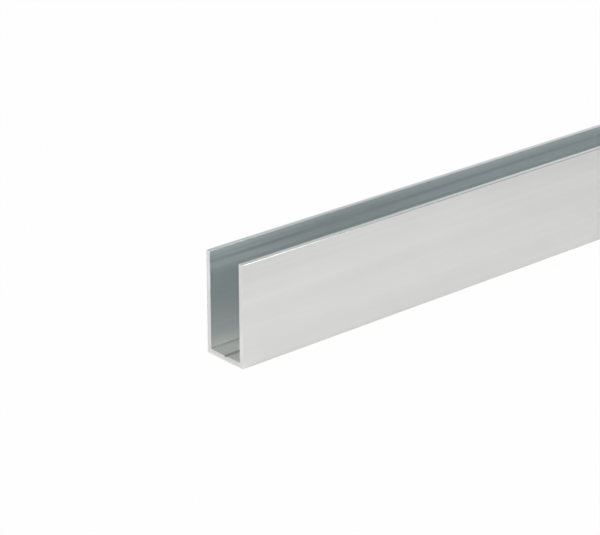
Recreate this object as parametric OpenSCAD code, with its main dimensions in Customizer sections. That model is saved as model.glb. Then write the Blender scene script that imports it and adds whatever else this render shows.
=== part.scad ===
// U-channel of extruded aluminium, cut to length as bar stock.
// Two equal flanges stand on a web. A shallow V groove runs along the middle of
// the web's inner face and leads a drill when fixing holes are made.
// The bar lies along X with its open side up. The origin is the middle of the
// web's underside.

/* [Bar] */
// Length of the bar between its two saw cuts
bar_length = 1000; // [100:10:3000]

/* [Section] */
// Width of the section over both flanges
section_width = 20; // [12:0.5:60]
// Height of the section, from the underside of the web to the flange tips
section_height = 40; // [10:0.5:80]
// Wall thickness of each flange
flange_wall = 2; // [1.2:0.1:4]
// Wall thickness of the web
web_wall = 2; // [1.2:0.1:4]

/* [Edges] */
// Radius of the two outer corners under the web
heel_radius = 0.6; // [0.1:0.05:1.5]
// Radius of the outer edge of each flange tip
outer_tip_radius = 0.3; // [0.05:0.05:0.55]
// Radius of the inner edge of each flange tip
inner_tip_radius = 0.1; // [0.05:0.05:0.55]
// Radius of the fillets where the flanges meet the web inside the channel
root_radius = 0.2; // [0.1:0.05:1.5]

/* [Drill groove] */
// Width of the V groove at the web's inner face
groove_width = 1.7; // [0.6:0.1:4]
// Depth of the V groove below the web's inner face
groove_depth = 0.7; // [0.2:0.05:1]

/* [Hidden] */
$fn = 48;

// Distance from the section's middle to the outer and inner face of a flange
outer_reach = section_width / 2;
inner_reach = outer_reach - flange_wall;
// How far a cutting or filling shape reaches past the edge that it works on
overlap = 0.05;

// Both halves of the section are alike: what is drawn at +x is repeated at -x
module both_sides() {
    children();
    mirror([1, 0]) children();
}

// The sliver between a square corner at the origin and a round of that radius
// inside it, with the round's centre towards +x and +y
module corner_sliver(radius) {
    difference() {
        translate([-overlap, -overlap]) square(radius + overlap);
        translate([radius, radius]) circle(radius);
    }
}

// Outer form of the section, with its heels rounded
module outer_form() {
    difference() {
        translate([-outer_reach, 0]) square([section_width, section_height]);
        both_sides() translate([-outer_reach, 0]) corner_sliver(heel_radius);
    }
}

// Space between the flanges, open at the top, with its two roots rounded
module channel_space() {
    difference() {
        translate([-inner_reach, web_wall])
            square([2 * inner_reach, section_height - web_wall + overlap]);
        both_sides() translate([-inner_reach, web_wall]) corner_sliver(root_radius);
    }
}

// V groove in the web's inner face; its sides run on past the face by the overlap
module drill_groove() {
    run_on = 1 + overlap / groove_depth;
    translate([0, web_wall - groove_depth])
        polygon([
            [0, 0],
            [run_on * groove_width / 2, run_on * groove_depth],
            [-run_on * groove_width / 2, run_on * groove_depth]
        ]);
}

// Slivers that round off both edges of each flange tip
module tip_slivers() {
    both_sides() {
        translate([-outer_reach, section_height])
            mirror([0, 1]) corner_sliver(outer_tip_radius);
        translate([-inner_reach, section_height])
            rotate(180) corner_sliver(inner_tip_radius);
    }
}

module channel_section() {
    difference() {
        outer_form();
        channel_space();
        drill_groove();
        tip_slivers();
    }
}

module u_channel() {
    color([0.80, 0.81, 0.80])
        rotate([90, 0, 90])
            linear_extrude(bar_length, center = true) channel_section();
}

u_channel();
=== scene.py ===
import math
import random

import bmesh
import bpy
from mathutils import Matrix, Vector


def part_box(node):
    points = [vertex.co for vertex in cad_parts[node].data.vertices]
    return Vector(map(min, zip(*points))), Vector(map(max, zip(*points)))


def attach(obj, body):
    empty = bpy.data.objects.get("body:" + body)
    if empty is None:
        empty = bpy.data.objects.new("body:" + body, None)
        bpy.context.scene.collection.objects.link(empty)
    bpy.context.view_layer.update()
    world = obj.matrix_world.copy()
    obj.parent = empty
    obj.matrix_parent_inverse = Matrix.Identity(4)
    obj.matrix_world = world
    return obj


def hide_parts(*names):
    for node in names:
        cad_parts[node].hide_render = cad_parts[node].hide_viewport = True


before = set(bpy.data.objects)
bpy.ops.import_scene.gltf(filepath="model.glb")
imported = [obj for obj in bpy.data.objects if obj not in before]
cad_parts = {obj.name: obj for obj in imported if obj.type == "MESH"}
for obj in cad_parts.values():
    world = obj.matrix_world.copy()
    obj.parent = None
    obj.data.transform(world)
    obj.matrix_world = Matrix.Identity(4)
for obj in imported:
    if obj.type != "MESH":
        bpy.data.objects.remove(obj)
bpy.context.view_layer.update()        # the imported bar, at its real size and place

barLow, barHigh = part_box("u_channel")
barLength = barHigh.x - barLow.x
barHeight = barHigh.z - barLow.z
halfWidth = barHigh.y
cutFoot = Vector((barLow.x, 0, barLow.z))      # foot of the near cut end, in the middle of the web
millimetre = 0.001       # m
scene = bpy.context.scene
scene.view_settings.view_transform = "Standard"
print("frame loaded, bar", [round(side / millimetre, 2) for side in barHigh - barLow], "mm")


# camera, placed from the foot of the near cut end
cameraSet = {
    "azimuth": -41.311,      # degrees round the bar, 0 looks along +Y
    "elevation": 22.451,     # degrees above the floor
    "lens": 136.676,         # mm
    "sensor": 36.0,          # mm, over the picture's width
    "aside": 0.02670,        # m to the right of the foot, seen by the camera
    "above": 0.03347,        # m above the foot, seen by the camera
    "away": 0.81640,         # m from the foot along the line of sight
    "nearest": 0.01,         # m, what lies closer isn't drawn
    "farthest": 100.0,       # m, nor is what lies beyond
}


def placeCamera(spec):
    turn = math.radians(spec["azimuth"])
    tilt = math.radians(spec["elevation"])
    back = Vector((math.sin(turn) * math.cos(tilt), -math.cos(turn) * math.cos(tilt), math.sin(tilt)))
    right = Vector((math.cos(turn), math.sin(turn), 0))
    up = back.cross(right)
    eye = cutFoot + right * spec["aside"] + up * spec["above"] + back * spec["away"]
    data = bpy.data.cameras.new("camera")
    data.sensor_width = spec["sensor"]
    data.lens = spec["lens"]
    data.clip_start = spec["nearest"]
    data.clip_end = spec["farthest"]
    camera = bpy.data.objects.new("camera", data)
    scene.collection.objects.link(camera)
    camera.matrix_world = Matrix.Translation(eye) @ Matrix((right, up, back)).transposed().to_4x4()
    scene.camera = camera


placeCamera(cameraSet)
print("camera placed")


# the channel itself: same section as the solid, with the die's lines and the broken edges of the saw cuts
channelSet = {
    "flangeWall": 0.0020,        # m, as all sizes here
    "webWall": 0.0020,
    "heelRadius": 0.0006,
    "outerTipRadius": 0.0003,
    "innerTipRadius": 0.0001,
    "rootRadius": 0.0002,
    "arcSteps": 6,               # flats in each of these rounds
    "grooveWidth": 0.0017,
    "grooveDepth": 0.0007,
    "lineSpacing": 0.0009,       # mean distance between two lines of the die
    "lineJitter": 0.35,          # share of it by which a line may be out of place
    "lineDepth": 0.000006,       # the deepest of them
    "lineSeed": 7,
    "brokenEdge": 0.00006,       # how far the file took the saw's burr off
    "brokenSteps": 2,
    "flatAngle": 1.0,            # degrees, faces that differ by less are one flat
    "smoothAngle": 40.0,         # degrees, edges that bend by less are shaded smooth
}
innerFace = halfWidth - channelSet["flangeWall"]       # from the middle to the inside of a flange
crossAxis, heightAxis = 1, 2
axisWays = {crossAxis: Vector((0, 1, 0)), heightAxis: Vector((0, 0, 1))}
samePlace = 0.00002              # m, closer than this counts as the same place
sameLine = 0.000002              # m, and this as the same line of the die
squareOn = 0.99                  # least share of a face's normal along the axis that it looks along


def near(value, target, slack=samePlace):
    return abs(value - target) < slack


def pick(kind, test):
    bpy.ops.mesh.select_mode(type=kind)
    bpy.ops.mesh.select_all(action="DESELECT")
    mesh = bmesh.from_edit_mesh(bpy.context.object.data)
    for item in mesh.faces if kind == "FACE" else mesh.edges:
        if test(item):
            item.select_set(True)
    mesh.select_flush_mode()
    bmesh.update_edit_mesh(bpy.context.object.data)


def runsAlong(edge):
    first, second = edge.verts
    return abs(first.co.x - second.co.x) > barLength / 2


def faceAt(axis, level, facing):
    def test(face):
        return face.normal[axis] * facing > squareOn and near(face.calc_center_median()[axis], level)
    return test


def blockOut(spec):              # a web plate with the two flanges pulled up from it
    bpy.ops.object.select_all(action="DESELECT")
    plate = (barLength, 2 * halfWidth, spec["webWall"])
    bpy.ops.mesh.primitive_cube_add(size=1, location=(0, 0, spec["webWall"] / 2), scale=plate)
    channel = bpy.context.object
    channel.name = "sawn_channel"
    bpy.ops.object.transform_apply(location=True, rotation=True, scale=True)
    bpy.ops.object.mode_set(mode="EDIT")
    for place in (-innerFace, innerFace):
        bpy.ops.mesh.select_all(action="SELECT")
        bpy.ops.mesh.bisect(plane_co=(0, place, 0), plane_no=(0, 1, 0))
    pick("FACE", lambda face: face.normal.z > squareOn and abs(face.calc_center_median().y) > innerFace)
    rise = barHeight - spec["webWall"]
    bpy.ops.mesh.extrude_region_move(TRANSFORM_OT_translate={"value": (0, 0, rise)})
    bpy.ops.mesh.select_all(action="SELECT")
    bpy.ops.mesh.dissolve_limited(angle_limit=math.radians(spec["flatAngle"]))
    return channel


def cutGroove(spec):             # V groove along the middle of the web
    half = spec["grooveWidth"] / 2
    for place in (-half, half, 0):
        pick("FACE", faceAt(heightAxis, spec["webWall"], 1))
        bpy.ops.mesh.bisect(plane_co=(0, place, 0), plane_no=(0, 1, 0))
    bpy.ops.transform.translate(value=(0, 0, -spec["grooveDepth"]))      # the last cut is still picked


def roundEdges(spec):
    rounds = (
        (halfWidth, 0, spec["heelRadius"]),
        (halfWidth, barHeight, spec["outerTipRadius"]),
        (innerFace, barHeight, spec["innerTipRadius"]),
        (innerFace, spec["webWall"], spec["rootRadius"]),
    )
    for y, z, radius in rounds:
        pick("EDGE", lambda edge: runsAlong(edge) and near(abs(edge.verts[0].co.y), y)
             and near(edge.verts[0].co.z, z))
        bpy.ops.mesh.bevel(offset=radius, segments=spec["arcSteps"], affect="EDGES", clamp_overlap=False)


def drawLines(spec, chance, side, across, low, high):      # side is the face's axis, level and way
    axis, level, facing = side
    count = round((high - low) / spec["lineSpacing"])
    step = (high - low) / count
    jitter = spec["lineJitter"]
    places = [low + step * (index + chance.uniform(-jitter, jitter)) for index in range(1, count)]
    for place in places:
        pick("FACE", lambda face: faceAt(axis, level, facing)(face)
             and low < face.calc_center_median()[across] < high)
        bpy.ops.mesh.bisect(plane_co=axisWays[across] * place, plane_no=axisWays[across])
    for place in places:
        pick("EDGE", lambda edge: runsAlong(edge) and near(edge.verts[0].co[axis], level)
             and near(edge.verts[0].co[across], place, sameLine))
        depth = spec["lineDepth"] * chance.random() ** 2
        bpy.ops.transform.translate(value=axisWays[axis] * (-facing * depth))


def drawDieLines(spec):          # shallow lines along every face that slid over the die
    chance = random.Random(spec["lineSeed"])
    outerTop = barHeight - spec["outerTipRadius"]
    innerTop = barHeight - spec["innerTipRadius"]
    innerFoot = spec["webWall"] + spec["rootRadius"]
    seat = innerFace - spec["rootRadius"]
    foot = halfWidth - spec["heelRadius"]
    half = spec["grooveWidth"] / 2
    for way in (-1, 1):
        drawLines(spec, chance, (crossAxis, way * halfWidth, way), heightAxis, spec["heelRadius"], outerTop)
        drawLines(spec, chance, (crossAxis, way * innerFace, -way), heightAxis, innerFoot, innerTop)
    drawLines(spec, chance, (heightAxis, spec["webWall"], 1), crossAxis, -seat, -half)
    drawLines(spec, chance, (heightAxis, spec["webWall"], 1), crossAxis, half, seat)
    drawLines(spec, chance, (heightAxis, 0, -1), crossAxis, -foot, foot)


def breakSawnEdges(spec):
    def atCut(edge):
        facesEnd = [abs(face.normal.x) > squareOn for face in edge.link_faces]
        return any(facesEnd) and not all(facesEnd)

    pick("EDGE", atCut)
    bpy.ops.mesh.bevel(offset=spec["brokenEdge"], segments=spec["brokenSteps"], affect="EDGES",
                       clamp_overlap=False)
    bpy.ops.mesh.select_all(action="SELECT")
    bpy.ops.mesh.normals_make_consistent(inside=False)


def modelChannel(spec):
    channel = blockOut(spec)
    cutGroove(spec)
    roundEdges(spec)
    drawDieLines(spec)
    breakSawnEdges(spec)
    bpy.ops.object.mode_set(mode="OBJECT")
    bpy.ops.object.shade_smooth_by_angle(angle=math.radians(spec["smoothAngle"]))
    shading = channel.modifiers.new("flat_faces", "WEIGHTED_NORMAL")
    shading.keep_sharp = True
    bpy.ops.object.modifier_apply(modifier=shading.name)
    return channel


channel = modelChannel(channelSet)
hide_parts("u_channel")
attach(channel, "root")
print("channel modelled,", len(channel.data.polygons), "faces")


# small helpers for the node trees
nodeStep = 200           # editor units between two nodes
noiseMiddle = 0.5        # what a noise gives on average


def addNode(tree, kind, at, **settings):
    node = tree.nodes.new(kind)
    node.location = (at[0] * nodeStep, at[1] * nodeStep)
    for key, value in settings.items():
        setattr(node, key, value)
    return node


def plug(tree, socket, value):           # a colour or a number is set on the socket, an output is linked
    if isinstance(value, tuple):
        socket.default_value = (*value, 1)
    elif isinstance(value, (int, float)):
        socket.default_value = value
    else:
        tree.links.new(value, socket)


def maths(tree, operation, at, *values):
    node = addNode(tree, "ShaderNodeMath", at, operation=operation)
    for socket, value in zip(node.inputs, values):
        plug(tree, socket, value)
    return node.outputs[0]


def span(tree, at, value, low, high, toLow=0.0, toHigh=1.0):
    node = addNode(tree, "ShaderNodeMapRange", at)
    ends = {"Value": value, "From Min": low, "From Max": high, "To Min": toLow, "To Max": toHigh}
    for name, end in ends.items():
        plug(tree, node.inputs[name], end)
    return node.outputs["Result"]


def blend(tree, at, kind, factor, first, second):
    node = addNode(tree, "ShaderNodeMix", at, data_type=kind)
    socketKind = "VALUE" if kind == "FLOAT" else kind
    plug(tree, node.inputs["Factor"], factor)
    ends = [socket for socket in node.inputs if socket.type == socketKind and socket.name != "Factor"]
    for socket, value in zip(ends, (first, second)):
        plug(tree, socket, value)
    return [socket for socket in node.outputs if socket.type == socketKind][0]


def blendColour(tree, at, factor, first, second):
    return blend(tree, at, "RGBA", factor, first, second)


def blendValue(tree, at, factor, first, second):
    return blend(tree, at, "FLOAT", factor, first, second)


def fillRamp(ramp, stops):
    points = ramp.color_ramp.elements
    for place, colour in stops[1:-1]:
        points.new(place)
    for point, (place, colour) in zip(points, stops):
        point.position = place
        point.color = (*colour, 1)


# mill-finish aluminium: bands that the die leaves along the bar, painted light and shade by height, near the
# cuts, in the groove and along the roots, finely sawn ends
millFinish = {
    "outer": (0.966, 0.977, 0.976),      # outside faces, bare and dull; the dull share is chance bands and painted light and shade by height
    "outerDullAndShade": (0.820, 0.834, 0.834),
    "outerChance": 0.33,                 # how much the chance bands dull them
    "chanceSpread": (1.15, 1.85),        # sum of three noises where such a band starts, and where it is full
    "outsideBands": (                    # height in mm, how dull the metal is there, how rough; the dullness is painted light and shade
        # painted light: lighter at the foot
        (0.8, 0.01, 0.310),
        (4.5, 0.29, 0.310),
        (31.0, 0.29, 0.310),
        (38.0, 0.60, 0.310),             # painted shade below the tip
        (39.50, 0.60, 0.310),
        (39.68, 0.55, 0.250),            # the tip's edge is smoother, under the same painted shade
        (39.96, 0.55, 0.250),
        (40.00, 0.55, 0.290),
    ),
    "inner": (0.952, 0.986, 0.998),      # inside faces, bare and dull; a bluer copy of the outside metal, painted light for the teal light between the flanges
    "innerDullAndShade": (0.795, 0.840, 0.848),
    "insideBands": (                     # height in mm, how dull the metal is there, how rough; the dullness is die bands over painted light and shade, lighter near the web and by the tips
        (0.0, 0.20, 0.285),
        (4.0, 0.20, 0.285),
        (8.0, 0.32, 0.320),
        (14.0, 0.42, 0.320),
        (22.0, 0.40, 0.300),
        (31.4, 0.36, 0.300),
        (32.2, 0.22, 0.335),
        (33.2, 0.00, 0.400),
        (34.0, 0.05, 0.345),
        (34.9, 0.00, 0.380),
        (36.1, 0.85, 0.280),             # the dark band
        (37.2, 0.10, 0.360),
        (38.0, 0.35, 0.335),
        (38.8, 0.00, 0.375),
        (40.0, 0.10, 0.350),
    ),
    "leastRoughness": 0.28,
    "wander": 0.0012,                    # m that a band inside strays as it runs along
    "marks": {                           # m along the bar, m across it, detail
        "lines": (0.30, 0.0009, 1.0),
        "mottle": (0.060, 0.016, 2.0),
        "streaks": (0.18, 0.0030, 1.0),
        "bands": (0.45, 0.011, 1.0),
    },
    "lineTone": 0.95,                    # how much a fine line changes the dullness inside
    "lineRoughness": 0.06,               # and how much it smooths the metal
    "calmHeight": (0.0300, 0.0325),      # m, below the first the lines are weak, above the second full
    "calmShare": 0.35,                   # how much of them is left below
    "cutShadeTone": 0.30,                    # painted shade: how much the inside is darkened by a cut, lower down
    "cutShadeReach": (0.05, 0.19),           # m from the cut, where that painted shade starts to thin and where it ends
    "cutShadeByTips": (                      # m from the cut, how much painted shade darkens the inside by the tips
        (0.000, 0.06),
        (0.015, 0.08),
        (0.035, 0.40),
        (0.055, 0.75),
        (0.085, 0.68),
        (0.115, 0.25),
        (0.140, 0.00),
    ),
    "web": (1.0, 0.977, 0.95),           # painted light: the web lighter and warmer
    "webFade": 0.008,                    # m, height at which that painted light has faded out
    "underside": 0.25,                   # share of the web's wall, what lies lower isn't inside the channel
    "grooveShade": (0.62, 0.64, 0.63),       # painted shade in the groove
    "rootShade": (0.74, 0.76, 0.755),  # painted shade, a thin line along each root
    "rootReach": 0.0001,                 # m, how far that line stands out from the flange
    "rootLine": 0.00035,                 # m, how far it stands up above the fillet
    "sawn": (0.955, 0.980, 0.985),       # fresh metal on the cut ends
    "sawnFootShade": (0.890, 0.908, 0.904),   # painted shade, darker at the foot of the cut ends
    "sawnFade": (0.001, 0.004),          # m, heights between which that painted shade fades out
    "sawnDepth": 1.1,                    # times the broken edge, counted from the very end
    "sawnRoughness": 0.42,
    "sawPitch": 0.0007,                  # m between the marks of the blade
    "sawRadius": 0.15,                   # m, of the blade
    "sawAside": 0.03,                    # m from the bar's middle to the blade's
    "sawHeight": 0.000003,               # m that a mark stands up
    "anisotropy": 0.68,
}
dullAndShadeColumn, roughColumn = 1, 2           # in the bands, after the height


def greyRamp(tree, at, place, stops):
    ramp = addNode(tree, "ShaderNodeValToRGB", at)
    tree.links.new(place, ramp.inputs[0])
    fillRamp(ramp, [(stop, (value,) * 3) for stop, value in stops])
    return ramp.outputs[0]


def heightRamp(tree, at, height, bands, column):
    stops = [(band[0] * millimetre / barHeight, band[column]) for band in bands]
    return greyRamp(tree, at, height, stops)


def stretchedNoise(tree, at, objectPoint, size):
    along, across, detail = size
    place = addNode(tree, "ShaderNodeMapping", at)
    place.inputs["Scale"].default_value = (1 / along, 1 / across, 1 / across)
    tree.links.new(objectPoint, place.inputs["Vector"])
    noise = addNode(tree, "ShaderNodeTexNoise", (at[0] + 1, at[1]))
    noise.inputs["Scale"].default_value = 1.0
    noise.inputs["Detail"].default_value = detail
    tree.links.new(place.outputs[0], noise.inputs["Vector"])
    return noise.outputs["Fac"]


def findPlaces(tree, spec, offMiddle, offCentre, z):       # 1 on that part of the bar and 0 elsewhere
    grooveEdge = channelSet["grooveWidth"] / 2
    midWall = halfWidth - channelSet["flangeWall"] / 2
    rootTop = channelSet["webWall"] + channelSet["rootRadius"] + spec["rootLine"]
    sawnDepth = channelSet["brokenEdge"] * spec["sawnDepth"]
    underside = channelSet["webWall"] * spec["underside"]
    sawn = maths(tree, "GREATER_THAN", (3, -4), offMiddle, barLength / 2 - sawnDepth)
    groove = maths(tree, "LESS_THAN", (3, -5), offCentre, grooveEdge)
    aboveFoot = maths(tree, "GREATER_THAN", (3, -6), z, underside)
    groove = maths(tree, "MULTIPLY", (4, -5), groove, aboveFoot)
    inside = maths(tree, "LESS_THAN", (3, -7), offCentre, midWall)
    inside = maths(tree, "MULTIPLY", (4, -7), inside, aboveFoot)
    web = span(tree, (3, -8), z, channelSet["webWall"], spec["webFade"], 1.0, 0.0)
    web = maths(tree, "MULTIPLY", (5, -7), web, inside)
    byFlange = maths(tree, "GREATER_THAN", (4, -8), offCentre, innerFace - spec["rootReach"])
    root = maths(tree, "LESS_THAN", (4, -9), z, rootTop)
    root = maths(tree, "MULTIPLY", (5, -9), root, byFlange)
    root = maths(tree, "MULTIPLY", (6, -9), root, inside)
    return {"sawn": sawn, "groove": groove, "inside": inside, "web": web, "root": root}


def outsideMetal(tree, spec, marks, z):        # chance bands over painted light and shade and roughness by height
    chance = maths(tree, "ADD", (4, 3), marks["bands"], marks["streaks"])
    chance = maths(tree, "ADD", (5, 3), chance, marks["mottle"])
    chance = span(tree, (6, 3), chance, *spec["chanceSpread"])
    height = maths(tree, "DIVIDE", (5, 5), z, barHeight)
    dullnessAndShade = heightRamp(tree, (6, 5), height, spec["outsideBands"], dullAndShadeColumn)
    rough = heightRamp(tree, (6, 4), height, spec["outsideBands"], roughColumn)
    dullnessAndShade = maths(tree, "MULTIPLY_ADD", (6.5, 3), chance, spec["outerChance"], dullnessAndShade)
    colour = blendColour(tree, (7, 3), dullnessAndShade, spec["outer"], spec["outerDullAndShade"])
    return colour, rough


def insideMetal(tree, spec, marks, offMiddle, z):
    # tone and roughness by height, on bands that stray a little; the tone is die bands and painted light and
    # shade
    stray = maths(tree, "SUBTRACT", (3, 2), marks["streaks"], noiseMiddle)
    strayed = maths(tree, "MULTIPLY_ADD", (4, 2), stray, spec["wander"], z)
    height = maths(tree, "DIVIDE", (5, 2), strayed, barHeight)
    dullnessAndShade = heightRamp(tree, (6, 2), height, spec["insideBands"], dullAndShadeColumn)
    rough = heightRamp(tree, (6, 1), height, spec["insideBands"], roughColumn)

    # fine lines, weaker lower down
    line = maths(tree, "SUBTRACT", (5, 0), marks["lines"], noiseMiddle)
    calm = span(tree, (5, -1), z, *spec["calmHeight"], spec["calmShare"], 1.0)
    line = maths(tree, "MULTIPLY", (5.5, 0), line, calm)
    dullnessAndShade = maths(tree, "MULTIPLY_ADD", (6.5, 2), line, spec["lineTone"], dullnessAndShade)
    smoothing = maths(tree, "MULTIPLY", (6, 0), line, spec["lineRoughness"])
    rough = maths(tree, "SUBTRACT", (6.5, 1), rough, smoothing)
    rough = maths(tree, "MAXIMUM", (7, 1), rough, spec["leastRoughness"])

    # painted shade: the inside darker near the cut, lower down and by the tips
    thinOut, end = spec["cutShadeReach"]
    fromCut = maths(tree, "SUBTRACT", (4, -3), barLength / 2, offMiddle)
    lowCutShade = span(tree, (5, -2), fromCut, thinOut, end, spec["cutShadeTone"], 0.0)
    tipCutShade = greyRamp(tree, (5, -3), fromCut, spec["cutShadeByTips"])
    byTip = span(tree, (5, -4), z, *spec["calmHeight"])
    cutShade = blendValue(tree, (6, -2), byTip, lowCutShade, tipCutShade)
    dullnessAndShade = maths(tree, "ADD", (6.8, 2), dullnessAndShade, cutShade)
    colour = blendColour(tree, (7, 2), dullnessAndShade, spec["inner"], spec["innerDullAndShade"])
    return colour, rough


def bladeRelief(tree, spec, sawn, y, z):       # arcs that the blade left on the cut ends
    section = addNode(tree, "ShaderNodeCombineXYZ", (2, -10))
    tree.links.new(y, section.inputs[0])
    tree.links.new(z, section.inputs[1])
    reach = addNode(tree, "ShaderNodeVectorMath", (3, -10), operation="DISTANCE")
    tree.links.new(section.outputs[0], reach.inputs[0])
    reach.inputs[1].default_value = (spec["sawAside"], -spec["sawRadius"], 0)
    arcs = maths(tree, "MULTIPLY", (4, -10), reach.outputs["Value"], 2 * math.pi / spec["sawPitch"])
    arcs = maths(tree, "SINE", (5, -10), arcs)
    arcs = maths(tree, "MULTIPLY", (6, -10), arcs, sawn)
    bump = addNode(tree, "ShaderNodeBump", (9, -2))
    bump.inputs["Strength"].default_value = 1.0
    bump.inputs["Distance"].default_value = spec["sawHeight"]
    tree.links.new(arcs, bump.inputs["Height"])
    return bump.outputs[0]


def millAluminium(spec):
    material = bpy.data.materials.new("mill_aluminium")
    material.use_nodes = True
    tree = material.node_tree
    tree.nodes.clear()
    output = addNode(tree, "ShaderNodeOutputMaterial", (12, 0))
    metal = addNode(tree, "ShaderNodeBsdfPrincipled", (10.5, 0))
    tree.links.new(metal.outputs[0], output.inputs["Surface"])
    point = addNode(tree, "ShaderNodeTexCoord", (0, 0)).outputs["Object"]
    axes = addNode(tree, "ShaderNodeSeparateXYZ", (1, -4))
    tree.links.new(point, axes.inputs[0])
    x, y, z = axes.outputs
    offMiddle = maths(tree, "ABSOLUTE", (2, -4), x)        # along the bar
    offCentre = maths(tree, "ABSOLUTE", (2, -5), y)        # across it

    # the die's marks, from broad bands to fine lines, and a soft mottle
    marks = {}
    for row, (name, size) in enumerate(spec["marks"].items()):
        marks[name] = stretchedNoise(tree, (1, row), point, size)
    places = findPlaces(tree, spec, offMiddle, offCentre, z)
    outer, outerRough = outsideMetal(tree, spec, marks, z)
    inner, innerRough = insideMetal(tree, spec, marks, offMiddle, z)

    # colour
    # the inside faces get their own bluer copy of the metal: painted light
    colour = blendColour(tree, (8, 3), places["inside"], outer, inner)
    # painted light: the web and the foot of the flanges lighter and warmer
    colour = blendColour(tree, (8.4, 3), places["web"], colour, spec["web"])
    # painted shade, a thin line along each root
    colour = blendColour(tree, (8.8, 3), places["root"], colour, spec["rootShade"])
    # painted shade in the groove
    colour = blendColour(tree, (9.2, 3), places["groove"], colour, spec["grooveShade"])
    # the cut ends, with painted shade at their foot
    fade = span(tree, (8, 4), z, *spec["sawnFade"])
    sawnWithFootShade = blendColour(tree, (9, 4), fade, spec["sawnFootShade"], spec["sawn"])
    colour = blendColour(tree, (9.6, 3), places["sawn"], colour, sawnWithFootShade)
    tree.links.new(colour, metal.inputs["Base Color"])

    # roughness and relief
    rough = blendValue(tree, (8, 1), places["inside"], outerRough, innerRough)
    rough = blendValue(tree, (9, 1), places["sawn"], rough, spec["sawnRoughness"])
    tree.links.new(rough, metal.inputs["Roughness"])
    tree.links.new(bladeRelief(tree, spec, places["sawn"], y, z), metal.inputs["Normal"])

    # the lines along X spread a highlight across the bar
    metal.inputs["Metallic"].default_value = 1.0
    metal.inputs["Anisotropic"].default_value = spec["anisotropy"]
    grain = addNode(tree, "ShaderNodeTangent", (9, -4), direction_type="RADIAL", axis="X")
    tree.links.new(grain.outputs[0], metal.inputs["Tangent"])
    return material


channel.data.materials.append(millAluminium(millFinish))
print("channel finished in mill aluminium")


# stage: a pale floor that reads white, with the bar's own soft shadow on it
floorSet = {
    "size": 40.0,                     # m
    "colour": (0.722, 0.704, 0.686),
    "whiteSeen": 0.973,               # share of plain white that the camera sees
    "whiteMirrored": 0.10,            # and that metal shows
}


def layFloor(spec):
    bpy.ops.object.select_all(action="DESELECT")
    bpy.ops.mesh.primitive_plane_add(size=spec["size"], location=(0, 0, barLow.z))
    floor = bpy.context.object
    floor.name = "floor"
    material = bpy.data.materials.new("floor_paper")
    material.use_nodes = True
    tree = material.node_tree
    tree.nodes.clear()
    output = addNode(tree, "ShaderNodeOutputMaterial", (5, 0))
    paper = addNode(tree, "ShaderNodeBsdfDiffuse", (3, 0))
    paper.inputs["Color"].default_value = (*spec["colour"], 1)
    white = addNode(tree, "ShaderNodeEmission", (3, -1))
    white.inputs["Strength"].default_value = 1.0
    rays = addNode(tree, "ShaderNodeLightPath", (0, 1))
    mirrored = maths(tree, "ADD", (1, 1), rays.outputs["Is Glossy Ray"], rays.outputs["Is Transmission Ray"])
    mirrored = maths(tree, "MULTIPLY", (2, 1), mirrored, spec["whiteMirrored"])
    share = maths(tree, "MULTIPLY_ADD", (3, 1), rays.outputs["Is Camera Ray"], spec["whiteSeen"], mirrored)
    mix = addNode(tree, "ShaderNodeMixShader", (4, 0))
    tree.links.new(share, mix.inputs[0])
    tree.links.new(paper.outputs[0], mix.inputs[1])
    tree.links.new(white.outputs[0], mix.inputs[2])
    tree.links.new(mix.outputs[0], output.inputs["Surface"])
    floor.data.materials.append(material)


layFloor(floorSet)
print("floor laid")


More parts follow.
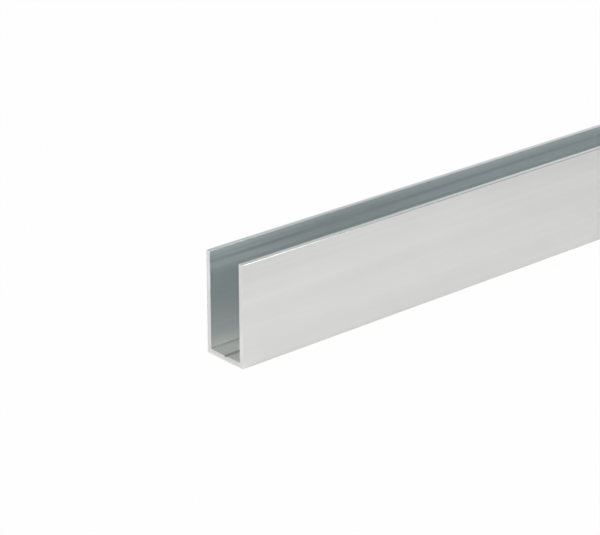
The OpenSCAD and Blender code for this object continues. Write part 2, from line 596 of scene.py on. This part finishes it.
# light: a pale room that darkens overhead, a soft key high on the left, a faint fill at the back right
# and a small softbox close to the tips
roomSet = {
    "sky": (                          # height on the sky from 0 to 1, and its colour
        (0.00, (0.62, 0.62, 0.62)),
        (0.32, (0.63, 0.64, 0.64)),
        (0.44, (0.57, 0.58, 0.58)),
        (0.62, (0.24, 0.25, 0.25)),
        (1.00, (0.22, 0.23, 0.23)),
    ),
    "lamps": {                        # size in m, place and aim in m from the foot of the near cut end
        "key": {"size": (1.2, 1.2), "at": (-0.75, -0.1, 1.6), "to": (0.05, 0, 0),
                "watts": 23.0, "colour": (1.0, 1.0, 1.0)},
        "fill": {"size": (2.4, 1.6), "at": (2.0, 1.3, 0.8), "to": (0, 1.3, 0.8),
                 "watts": 2.2, "colour": (1.0, 0.97, 0.93)},
        "tips": {"size": (0.04, 0.15), "at": (0.222, -0.215, 0.2575), "to": (0, -0.01, 0.04),
                 "watts": 0.17, "colour": (1.0, 0.98, 0.95)},
    },
    "bounces": 24,                    # light passes many times between the flanges
    "mirrorBounces": 20,
}


def paintSky(stops):
    world = bpy.data.worlds.new("room")
    scene.world = world
    world.use_nodes = True
    tree = world.node_tree
    tree.nodes.clear()
    output = addNode(tree, "ShaderNodeOutputWorld", (5, 0))
    sky = addNode(tree, "ShaderNodeBackground", (4, 0))
    tree.links.new(sky.outputs[0], output.inputs["Surface"])
    way = addNode(tree, "ShaderNodeTexCoord", (0, 0))
    axes = addNode(tree, "ShaderNodeSeparateXYZ", (1, 0))
    tree.links.new(way.outputs["Generated"], axes.inputs[0])
    ramp = addNode(tree, "ShaderNodeValToRGB", (2, 0))
    tree.links.new(axes.outputs["Z"], ramp.inputs[0])
    fillRamp(ramp, stops)
    tree.links.new(ramp.outputs[0], sky.inputs["Color"])


def hangLamp(name, spec):
    data = bpy.data.lights.new(name, "AREA")
    data.shape = "RECTANGLE"
    data.size, data.size_y = spec["size"]
    data.energy = spec["watts"]
    data.color = spec["colour"]
    lamp = bpy.data.objects.new(name, data)
    scene.collection.objects.link(lamp)
    lamp.location = cutFoot + Vector(spec["at"])
    aim = Vector(spec["to"]) - Vector(spec["at"])
    lamp.rotation_euler = aim.to_track_quat("-Z", "Y").to_euler()
    lamp.visible_camera = False


paintSky(roomSet["sky"])
for name, lampSpec in roomSet["lamps"].items():
    hangLamp(name, lampSpec)
scene.cycles.max_bounces = roomSet["bounces"]
scene.cycles.glossy_bounces = roomSet["mirrorBounces"]
print("lights hung")
